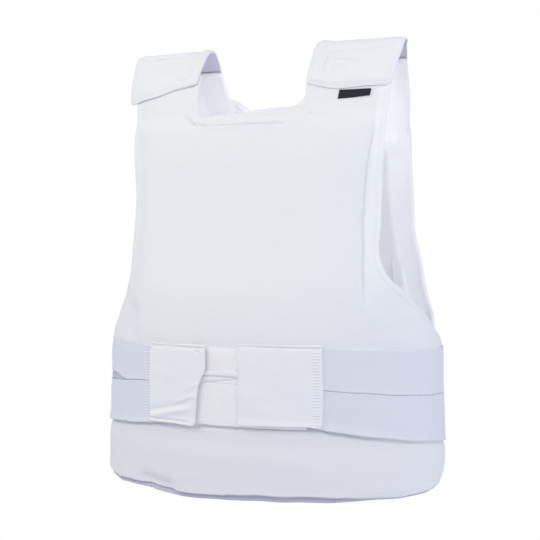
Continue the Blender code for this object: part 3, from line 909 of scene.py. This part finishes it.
def back_lift(across, up, near):
    """The back's outer face stays level, so its thin margin lies outwards."""
    return 0.9 * thinner(across, up, near, BACK_INSERT) * ramp(*HEM_RISE, up) * fall(*TAB_FADE, up)


def band_lift(across, up, near):
    reach = np.abs(across)
    drop = ramp(FRONT_WING_END + 2, FRONT_WING_END + 2 + BAND_DROP, reach)
    press = BAND_PRESS + side_press(across) * (1 - drop)
    return PAD_THICKNESS + LAYER_GAP + WING_LIFT * (ramp(*WING_RISE, reach) - drop) - press


def strap_lift(across, over, near):
    front_tab = FRONT_TAB_TOP - SHOULDER_START
    back_tab = shoulder_length() - (BACK_TAB_TOP - SHOULDER_START)
    on_tab = COVER_THICKNESS + LAYER_GAP
    down = ramp(front_tab + 2, front_tab + 24, over)
    return on_tab + (STRAP_REST - on_tab) * (down - ramp(back_tab - 24, back_tab - 2, over))


def strap_thickness(across, over, near):
    return STRAP_THICKNESS - 1.3 * fall(0.5, 7, near)


def seam_relief(across, up, near, half_width, seed, depth=1):
    """The stitched line along the neckline, its puckers, and the turned edge all round the cover."""
    neck = by_the_neck(across, up, half_width)
    groove = -1.7 * bell(near, NECK_MARGIN, 1.1) + 0.6 * bell(near - NECK_MARGIN, 2.9, 1.6)
    pucker = 0.35 * ripple(across, up, 7.5, seed) * bell(near, 7, 5)
    turned = 0.45 * zone(0.8, 2.2, 5.2, 7, near) * ramp(30, 60, up)
    return depth * groove * neck + pucker * ramp(25, 60, up) + turned * (1 - neck)


def arm_groove(across, up, seed):
    """The stitched line beside the arm, with small puckers along it."""
    away = beyond(ARM_SEAM, across, up)
    groove = -2 * bell(away, 0.6, 1.3) + 0.4 * bell(away, -4.5, 2.5)
    pucker = 0.35 * ripple(across, up, (9, 6.5), seed) * bell(away, 0, 5)
    return zone(*ARM_SEAM_FADE, up) * np.where(across > 0, 1, 0.4) * (groove + pucker)


def swell(across, up, seed):
    """The slow rise and fall of cloth over a stiff insert."""
    broad = 0.9 * ripple(across, up, 105, seed) + 0.42 * ripple(across, up, 44, seed + 1)
    return broad + 0.13 * ripple(across, up, 17, seed + 2)


def hem_lip(across):
    """How far above the hem the outer cloth stops, all along it."""
    taper = 1 - 0.6 * ramp(HEM_LIP_LOW, HEM_LIP_END, across)
    waver = 0.5 * ripple(across, np.zeros_like(across), 18, 15)
    return np.maximum(HEM_LIP_HEIGHT * ramp(*HEM_LIP_RISE, across) * taper + waver, HEM_LIP_LEAST * taper)


def painted_shade_places(across, up, near, lower):
    """Where the darker lining cloth is put as painted shade: the recess below the hem's lip and the gap
    between the bands on the wearer's right.
    """
    between_bands = (across < PAINTED_GAP_SHADE[0]) & (up > PAINTED_GAP_SHADE[1]) & (up < PAINTED_GAP_SHADE[2])
    return ((near < hem_lip(across)) & (up < HEM_TOP) & (across > -HEM_LIP_REACH)) | between_bands


# The straps' whole lower face gets the darker lining cloth, partly their own lining and partly painted
# shade.
def painted_shade_underside(across, over, near, lower):
    return lower


def hem_step(across, up, near):
    """The step down from the outer cloth's edge, above the hem, to the layer that shows under it."""
    height = hem_lip(across)
    along = fall(HEM_LIP_END - 10, HEM_LIP_END + 10, across) * (up < HEM_TOP)
    along = along * ramp(-HEM_LIP_REACH - 2, -HEM_LIP_REACH + 8, across)
    return along * (0.5 * bell(near - height, 1.6, 1.2) - HEM_LIP_DEPTH * fall(-0.5, 0.5, near - height))


def front_relief(across, up, near):
    free = 1 - zone(*BAND_ZONE, up)
    press = BAND_PRESS + side_press(across)
    height = seam_relief(across, up, near, FRONT_NECK, 11, depth=0.25) - press * zone(*BAND_ZONE, up)
    slow = swell(across, up, 21) * ramp(4, 24, near)
    height += free * (slow + folds(FRONT_FOLDS, across, up) + arm_groove(across, up, 13))
    height += 0.8 * ramp(*CROWN, near) * free
    return height + hem_step(across, up, near) - belt_crease(across, up)


def back_relief(across, up, near):
    free = 1 - zone(*BAND_ZONE, up) * ramp(50, 90, np.abs(across))
    height = seam_relief(across, up, near, BACK_NECK, 31) - 0.5 * (1 - free)
    height += free * swell(across, up, 41) * ramp(4, 24, near) + folds(BACK_FOLDS, across, up)
    return height + 0.8 * ramp(*CROWN, near) * free


def back_lining(across, up, near):
    """The back panel's inner face, with its folds and the pull of its seams."""
    height = folds(BACK_FOLDS, across, up) + 0.5 * swell(across, up, 51) * ramp(8, 24, near)
    return height - seam_relief(across, up, near, BACK_NECK, 61)


def front_lining(across, up, near):
    slow = 0.4 * swell(across, up, 71) * ramp(8, 24, near)
    return slow - 0.7 * seam_relief(across, up, near, FRONT_NECK, 72)


def band_relief(seed):
    def relief(across, up, near):
        ribs = 0.16 * ripple(across, up, (5, 60), seed)
        slack = 0.55 * ripple(across, up, (58, 26), seed + 1) * ramp(2, 12, near)
        return ribs + slack + 0.28 * fall(0.8, 3.2, near)

    return relief


def band_curl(stops, tops, bottoms, side, stands_off, settles, seed):
    """In front the lower edge stands off the panel, and at the side the upper edge settles on it."""

    def curl(across, up, near):
        reach = side * across
        low, high = up - np.interp(reach, stops, bottoms), np.interp(reach, stops, tops) - up
        waver = 0.5 * ripple(across, up, (46, 200), seed)
        off = (stands_off + waver) * fall(0, 9, low) * fall(150, 220, reach)
        return off - settles * fall(0, 20, high) * zone(130, 185, 262, 300, reach)

    return curl


def flap_relief(rows, top, seed):
    """A dark line just below the flap's top edge, and its folds."""

    def relief(across, up, near):
        line = -1.5 * bell(top - up, 2.9, 1) + 0.5 * bell(top - up, 1, 1)
        return line * ramp(-3, 2, near) + 0.3 * ripple(across, up, 26, seed) + folds(rows, across, up)

    return relief


def flap_curl(free, low):
    """A flap's free side edge and its lower edge stand off the fields."""

    def curl(across, up, near):
        side = ramp(-44, -22, across) * (1 - 0.4 * ramp(80, 150, up)) if free else 0
        return 3.4 * side + 1.7 * fall(low, low + 9, up) - 0.4

    return curl


def tape_relief(across, up, near):
    """Two narrow tapes, one over the other, the lower one folded under along a slanted line."""
    slant_up = 118.6 + (across + 21.5) * 4.4 / 33
    slant = -1 * bell(up, slant_up, 0.8) * zone(-26, -22, 12, 18, across)
    stepped = 0.8 * ramp(slant_up - 0.2, slant_up + 1, up)
    return -1.5 * bell(up, TAPE_SPLIT, 0.8) + slant + stepped + 0.9 * ramp(TAPE_SPLIT, TAPE_SPLIT + 1.2, up)


def pile_relief(seed):
    def relief(across, up, near):
        fluff = 0.16 * ripple(across, up, 2.6, seed) + 0.3 * ripple(across, up, 22, seed + 1)
        return fluff - ramp(FIELD_TOP - 7, FIELD_TOP, up)

    return relief


def settled_end(across, over, near):
    """The end of the wearer's left strap flap lies this much closer to the tab."""
    return -0.6 * fall(1, 8, near) * fall(24, 36, over)


def strap_relief(rows, neck_side, seed):
    """The strap's padded middle, its turned edge on the neck side, and its folds."""

    def relief(across, over, near):
        border = 0
        if neck_side:
            beside_edge = 5 * bell(near, 13, 4) * zone(50, 62, 84, 100, over)
            border = (1.4 * fall(8, 10, near) - 0.35 * beside_edge) * ramp(-105, -84, across)
        seam = -0.4 * bell(near, STRAP_SEAM, 0.9)
        return border + seam + 0.5 * ripple(across, over, 30, seed) + folds(rows, across, over)

    return relief


def on_socket(node, **values):
    for name, value in values.items():
        node.inputs[name.replace("_", " ")].default_value = value


def new_material(name):
    material = bpy.data.materials.new(name)
    material.use_nodes = True
    return material, material.node_tree.nodes, material.node_tree.links


def cloth_material(name, colour, roughness, pitch, weave, nap, sheen, spread, paints_light_through):
    """Woven cloth: a plain weave at pitch, a nap of fine fibres, and a slow change of shade over it."""
    material, nodes, links = new_material(name)
    shader = nodes["Principled BSDF"]
    on_socket(shader, Roughness=roughness, Metallic=0, Sheen_Weight=sheen, Sheen_Roughness=0.5)
    on_socket(shader, Specular_IOR_Level=0.25)

    def node(kind, **settings):
        new = nodes.new("ShaderNode" + kind)
        for setting, value in settings.items():
            setattr(new, setting, value)
        return new

    def math_node(operation, first, second=None):
        new = node("Math", operation=operation)
        for socket, value in zip(new.inputs, (first, second)):
            if isinstance(value, (int, float)):
                socket.default_value = value
            elif value is not None:
                links.new(value, socket)
        return new.outputs[0]

    def noise(scale, detail):
        new = node("TexNoise")
        on_socket(new, Scale=scale, Detail=detail)
        links.new(places.outputs["Vector"], new.inputs["Vector"])
        return new.outputs["Fac"]

    places = node("Attribute", attribute_name="cloth")
    parts = node("SeparateXYZ")
    links.new(places.outputs["Vector"], parts.inputs[0])
    turns = 2 * math.pi / pitch
    warp, weft = (math_node("SINE", math_node("MULTIPLY", parts.outputs[axis], turns)) for axis in (0, 1))
    woven = math_node("MULTIPLY", math_node("MULTIPLY", warp, weft), weave)
    height = math_node("ADD", woven, math_node("MULTIPLY", noise(1.7, 3), nap))
    bump = node("Bump")
    on_socket(bump, Strength=1, Distance=MM)
    links.new(height, bump.inputs["Height"])
    links.new(bump.outputs["Normal"], shader.inputs["Normal"])
    shade = node("MixRGB", blend_type="MIX")
    dark, light = ([min(part * (1 + change), 1) for part in colour] for change in (-spread, spread))
    on_socket(shade, Color1=(*dark, 1), Color2=(*light, 1))
    links.new(noise(0.06, 4), shade.inputs["Fac"])
    shown = shade.outputs["Color"]
    # Painted light and painted shade: the colour is scaled by the mesh's painted values, lighter on thin
    # cloth and darker on the pad's inner face.
    if paints_light_through:
        painted_lightness = node("Attribute", attribute_name="painted_lightness").outputs["Fac"]
        lit = node("VectorMath", operation="SCALE")
        links.new(shown, lit.inputs[0])
        links.new(math_node("ADD", math_node("MULTIPLY", painted_lightness, PAINTED_THIN_LIGHT), 1), lit.inputs["Scale"])
        shown = lit.outputs["Vector"]
    links.new(shown, shader.inputs["Base Color"])
    return material


def padded_panels(made, front, back):
    panels = (
        (
            "front_panel", front, FRONT_CORNERS, FRONT_INSERT,
            front_lift, front_relief, front_lining, front_painted_light_mask,
            (by_creases(FRONT_FOLDS), by_line(ARM_SEAM), beside(BELT_LINE, BELT_OFFSETS, 2.2)),
        ),
        (
            "back_panel", back, BACK_CORNERS, BACK_INSERT,
            back_lift, back_relief, back_lining, back_painted_light_mask,
            (by_creases(BACK_FOLDS), by_line(BACK_INSERT_EDGE)),
        ),
    )
    for name, surface, corners, insert, lift, relief, lining, painted_light_mask, guides in panels:
        panel = Cloth(
            name, surface, corners, PANEL_STEP, lift, panel_thickness(insert), rounding=PANEL_ROUNDING,
            relief=relief, lining=lining, guides=np.concatenate(guides), painted_light_mask=painted_light_mask,
        )
        panel.build(made, "cover", painted_shade_at=painted_shade_places)
        if name == "back_panel":
            neck_line = inset_line(panel.outline, NECK_MARGIN)
            neck_line = neck_line[by_the_neck(*neck_line.T, BACK_NECK) > 0.5]
            panel.sew_along("_neck_seam", neck_line, NECK_STITCH)
        edge = inset_line(panel.outline, 5.6 + 2.4 * fall(*HEM_RISE, panel.outline[:, 1]))
        panel.sew_along("_edge_seam", edge, EDGE_STITCH)


def shoulder_straps(made):
    for name, corners, rows, seed, curl in (
        ("shoulder_strap_left", LEFT_STRAP_CORNERS, LEFT_STRAP_FOLDS, 81, settled_end),
        ("shoulder_strap_right", RIGHT_STRAP_CORNERS, RIGHT_STRAP_FOLDS, 91, level),
    ):
        strap = Cloth(
            name, on_shoulder, corners, STRAP_STEP, strap_lift, strap_thickness,
            relief=strap_relief(rows, name.endswith("right"), seed), curl=curl, guides=by_creases(rows),
        )
        strap.build(made, "cover", painted_shade_at=painted_shade_underside)
        strap.sew_along("_seam", inset_line(strap.outline, STRAP_SEAM), STRAP_STITCH)


def elastic_bands(made, front):
    """The four bands; the flap's ladder stitches are sewn through the two on the wearer's right."""
    for number, (name, side, tops, bottoms) in enumerate(BAND_ROWS):
        stops = (LEFT_BAND_START if side > 0 else RIGHT_BAND_START, *BAND_STOPS)
        stands_off, settles = (0.3, BAND_SETTLES[side]) if "upper" in name else (1.3, 0)
        upper, lower = (
            [(side * stop, height, radius) for stop, height, radius in zip(stops, heights, BAND_ROUNDING)]
            for heights in (tops, bottoms)
        )
        band = Cloth(
            name, front, upper + lower[::-1], BAND_STEP, band_lift, even(BAND_THICKNESS),
            relief=band_relief(101 + 7 * number),
            curl=band_curl(stops, tops, bottoms, side, stands_off, settles, 201 + number),
        )
        band.build(made, "elastic")
        starts = [side * (BAND_BACK_END - BAR_MARGIN) - side * row for row in BAR_ROWS]
        ends = bottoms[-1] + 2, tops[-1] - 2
        rows = [bars(start, *ends, -side * BAR_WIDTH, BAR_PITCH) for start in starts]
        band.sew("_end_seam", np.concatenate(rows), BAR_RADIUS)
        if side < 0:
            ladder = bars(RIGHT_LADDER, bottoms[0] - 0.5, tops[0] - 1, LADDER_WIDTH, LADDER_PITCH)
            band.sew("_ladder", ladder, LADDER_RADIUS, rise=LADDER_RISE)


def closure(made, front):
    """The loop fields and the tape between them, and the two flaps that close over them."""
    start, end = EDGE_GAP - RIGHT_BAND_START, LEFT_BAND_START - EDGE_GAP
    for number, (name, bottom, top) in enumerate(LANDING_ROWS):
        corners = ((start, bottom, 0), (end, bottom, 0), (end, top, 0), (start, top, 0))
        tape = name == "landing_tape"
        field = Cloth(
            name, front, corners, TAPE_STEP if tape else FIELD_STEP, band_lift, even(BAND_THICKNESS),
            relief=tape_relief if tape else pile_relief(131 + number),
        )
        field.build(made, "hook" if tape else "loop")
    for name, corners, free, rows, top, seed in (
        ("closure_flap_left", LEFT_FLAP_CORNERS, False, LEFT_FLAP_FOLDS, 159, 141),
        ("closure_flap_right", RIGHT_FLAP_CORNERS, True, RIGHT_FLAP_FOLDS, 155.6, 151),
    ):
        low = min(corner[1] for corner in corners)
        flap = Cloth(
            name, front, corners, FLAP_STEP, even(FLAP_LIFT), even(FLAP_THICKNESS),
            relief=flap_relief(rows, top, seed), curl=flap_curl(free, low), guides=by_creases(rows),
        )
        flap.build(made, "hook")
        flap.sew_along("_edge_seam", inset_line(flap.outline, FLAP_SEAM), FLAP_STITCH, rise=FLAT_RISE)
        if not free:
            ladder = bars(LEFT_LADDER, low + 2, top - 1, LADDER_WIDTH, LADDER_PITCH)
            flap.sew("_ladder", ladder, LADDER_RADIUS, rise=LADDER_RISE)


def neck_label(made, front):
    lift = even(COVER_THICKNESS + LAYER_GAP)
    label = Cloth("neck_label", front, LABEL_CORNERS, LABEL_STEP, lift, even(LABEL_THICKNESS))
    label.build(made, "label")


def make_camera():
    data = bpy.data.cameras.new("camera")
    camera = new_object("camera", data)
    turn = math.radians(CAMERA_TURN)
    spot = np.array([CAMERA_DISTANCE * math.sin(turn), -CAMERA_DISTANCE * math.cos(turn), CAMERA_HEIGHT])
    camera.location = (spot - rest_point()) * MM
    camera.rotation_euler = (math.pi / 2, 0, turn)
    data.sensor_width = SENSOR
    data.lens = PHOTO_FOCUS * SENSOR / PHOTO_SIZE
    data.shift_x = (0.5 * PHOTO_SIZE - PHOTO_CENTRE[0]) / PHOTO_SIZE
    data.shift_y = (PHOTO_CENTRE[1] - 0.5 * PHOTO_SIZE) / PHOTO_SIZE
    data.clip_start, data.clip_end = 0.05, 50
    bpy.context.scene.camera = camera


def make_world():
    """Even studio light, behind a background that is seen as plain white."""
    world = bpy.data.worlds.new("studio")
    bpy.context.scene.world = world
    world.use_nodes = True
    nodes, links = world.node_tree.nodes, world.node_tree.links
    lit, seen = nodes["Background"], nodes.new("ShaderNodeBackground")
    on_socket(lit, Color=WORLD_COLOUR, Strength=WORLD_STRENGTH)
    on_socket(seen, Color=(1, 1, 1, 1))
    ray, mix = nodes.new("ShaderNodeLightPath"), nodes.new("ShaderNodeMixShader")
    sources = ray.outputs["Is Camera Ray"], lit.outputs[0], seen.outputs[0]
    for source, socket in zip(sources, mix.inputs):
        links.new(source, socket)
    links.new(mix.outputs[0], nodes["World Output"].inputs["Surface"])


def make_studio():
    """Soft lights round the vest, a few small ones inside it, and a pale floor far below."""
    make_world()
    for name, spot, aim, size, power, colour in LIGHTS:
        data = bpy.data.lights.new(name, "AREA")
        data.shape = "RECTANGLE"
        data.size, data.size_y = size
        data.energy, data.color = power, colour
        light = new_object(name, data)
        light.location = spot
        light.rotation_euler = (Vector(aim) - Vector(spot)).to_track_quat("-Z", "Y").to_euler()
        light.visible_camera = False
    floor_mesh = bpy.data.meshes.new("floor")
    turns = np.linspace(0, 2 * math.pi, 96, endpoint=False)
    rim = [(FLOOR_RADIUS * math.cos(turn), FLOOR_RADIUS * math.sin(turn), FLOOR_LEVEL) for turn in turns]
    floor_mesh.from_pydata(rim, [], [list(range(len(rim)))])
    floor = new_object("floor", floor_mesh)
    material, nodes, _ = new_material("floor_paint")
    on_socket(nodes["Principled BSDF"], Base_Color=FLOOR_COLOUR, Roughness=0.9)
    floor_mesh.materials.append(material)
    bpy.context.scene.view_settings.view_transform = "Standard"


def main():
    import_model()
    made = {part: cloth_material(*values, part == "cover") for part, *values in MATERIALS}
    front, back = Face(False), Face(True)
    padded_panels(made, front, back)
    shoulder_straps(made)
    elastic_bands(made, front)
    closure(made, front)
    neck_label(made, front)
    make_camera()
    make_studio()


main()
